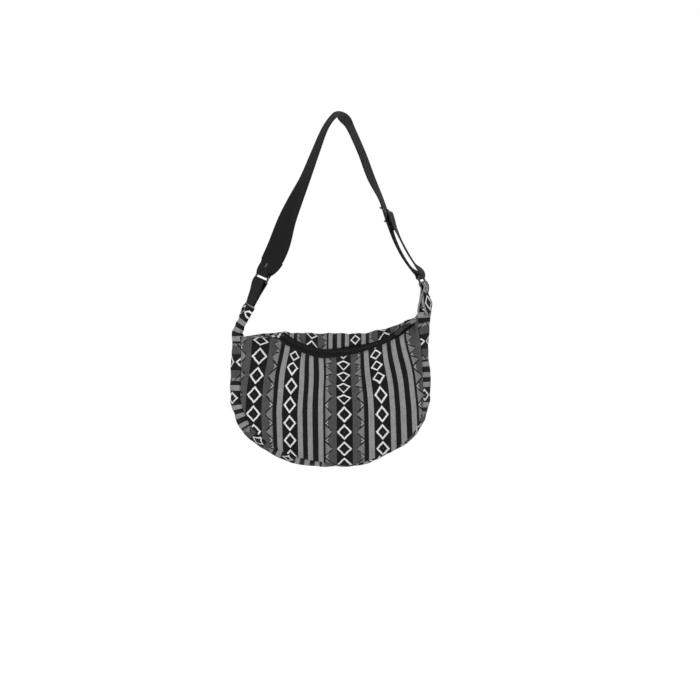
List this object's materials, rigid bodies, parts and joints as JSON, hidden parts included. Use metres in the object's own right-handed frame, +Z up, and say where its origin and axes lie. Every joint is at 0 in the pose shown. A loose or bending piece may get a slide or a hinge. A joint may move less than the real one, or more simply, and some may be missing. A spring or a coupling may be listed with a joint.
{
  "type": "crossbody bag",
  "caption": "Soft half-moon crossbody bag of striped woven cotton with a zip along its top, cloth end tabs and an adjustable black webbing strap.",
  "frame": {"origin": "underside of the strap's highest point, where a hook or a shoulder carries the bag", "axes": "+Z up, the bag's front panel faces -Y, +X to the viewer's right"},
  "size_m": [0.28, 0.0985, 0.5004],
  "materials": {
    "woven_cotton": "matte woven stripe",
    "lining_cloth": "plain matte",
    "zip_cloth": "matte",
    "black_webbing": "matte woven",
    "dark_metal": "satin black",
    "black_plastic": "satin"
  },
  "bodies": {
    "root": {"front_panel": "woven_cotton", "back_panel": "woven_cotton", "gusset": "woven_cotton", "top_facing_left": "woven_cotton", "top_facing_right": "woven_cotton", "left_tab": "woven_cotton", "right_tab": "woven_cotton", "lining_front": "lining_cloth", "lining_back": "lining_cloth", "lining_gusset": "lining_cloth", "zip_tape_front": "zip_cloth", "zip_tape_rear": "zip_cloth", "zip_coil_front": "zip_cloth", "zip_coil_rear": "zip_cloth", "zip_stop_left": "dark_metal", "zip_stop_right": "dark_metal", "shoulder_strap": "black_webbing", "left_webbing_loop": "black_webbing"},
    "slider": {"zip_slider": "dark_metal"},
    "pull": {"zip_pull": "dark_metal"},
    "buckle": {"adjuster": "black_plastic"},
    "ring_left": {"left_ring": "dark_metal"},
    "ring_right": {"right_ring": "dark_metal"}
  },
  "joints": [
    {"name": "zip_travel", "type": "hinge", "parent": "root", "child": "slider", "pos_m": [0.01204, 0.04962, -0.26145], "axis": [0.1354, 0.6491, -0.7485], "range_deg": [0, 104]},
    {"name": "pull_swing", "type": "hinge", "parent": "slider", "child": "pull", "pos_m": [0.09524, -0.01125, -0.29412], "axis": [-0.7746, 0.5404, 0.3285], "range_deg": [0, 165]},
    {"name": "adjuster_slide", "type": "slide", "parent": "root", "child": "buckle", "axis": [0.3145, 0, -0.9493], "range_m": [0, 0.02]},
    {"name": "left_ring_swing", "type": "hinge", "parent": "root", "child": "ring_left", "pos_m": [-0.10424, 0, -0.22299], "axis": [0.3953, -0.8988, -0.1894], "range_deg": [-3, 3]},
    {"name": "right_ring_swing", "type": "hinge", "parent": "root", "child": "ring_right", "pos_m": [0.11553, 0, -0.22686], "axis": [-0.1928, -0.9781, -0.0779], "range_deg": [-3, 3]}
  ]
}
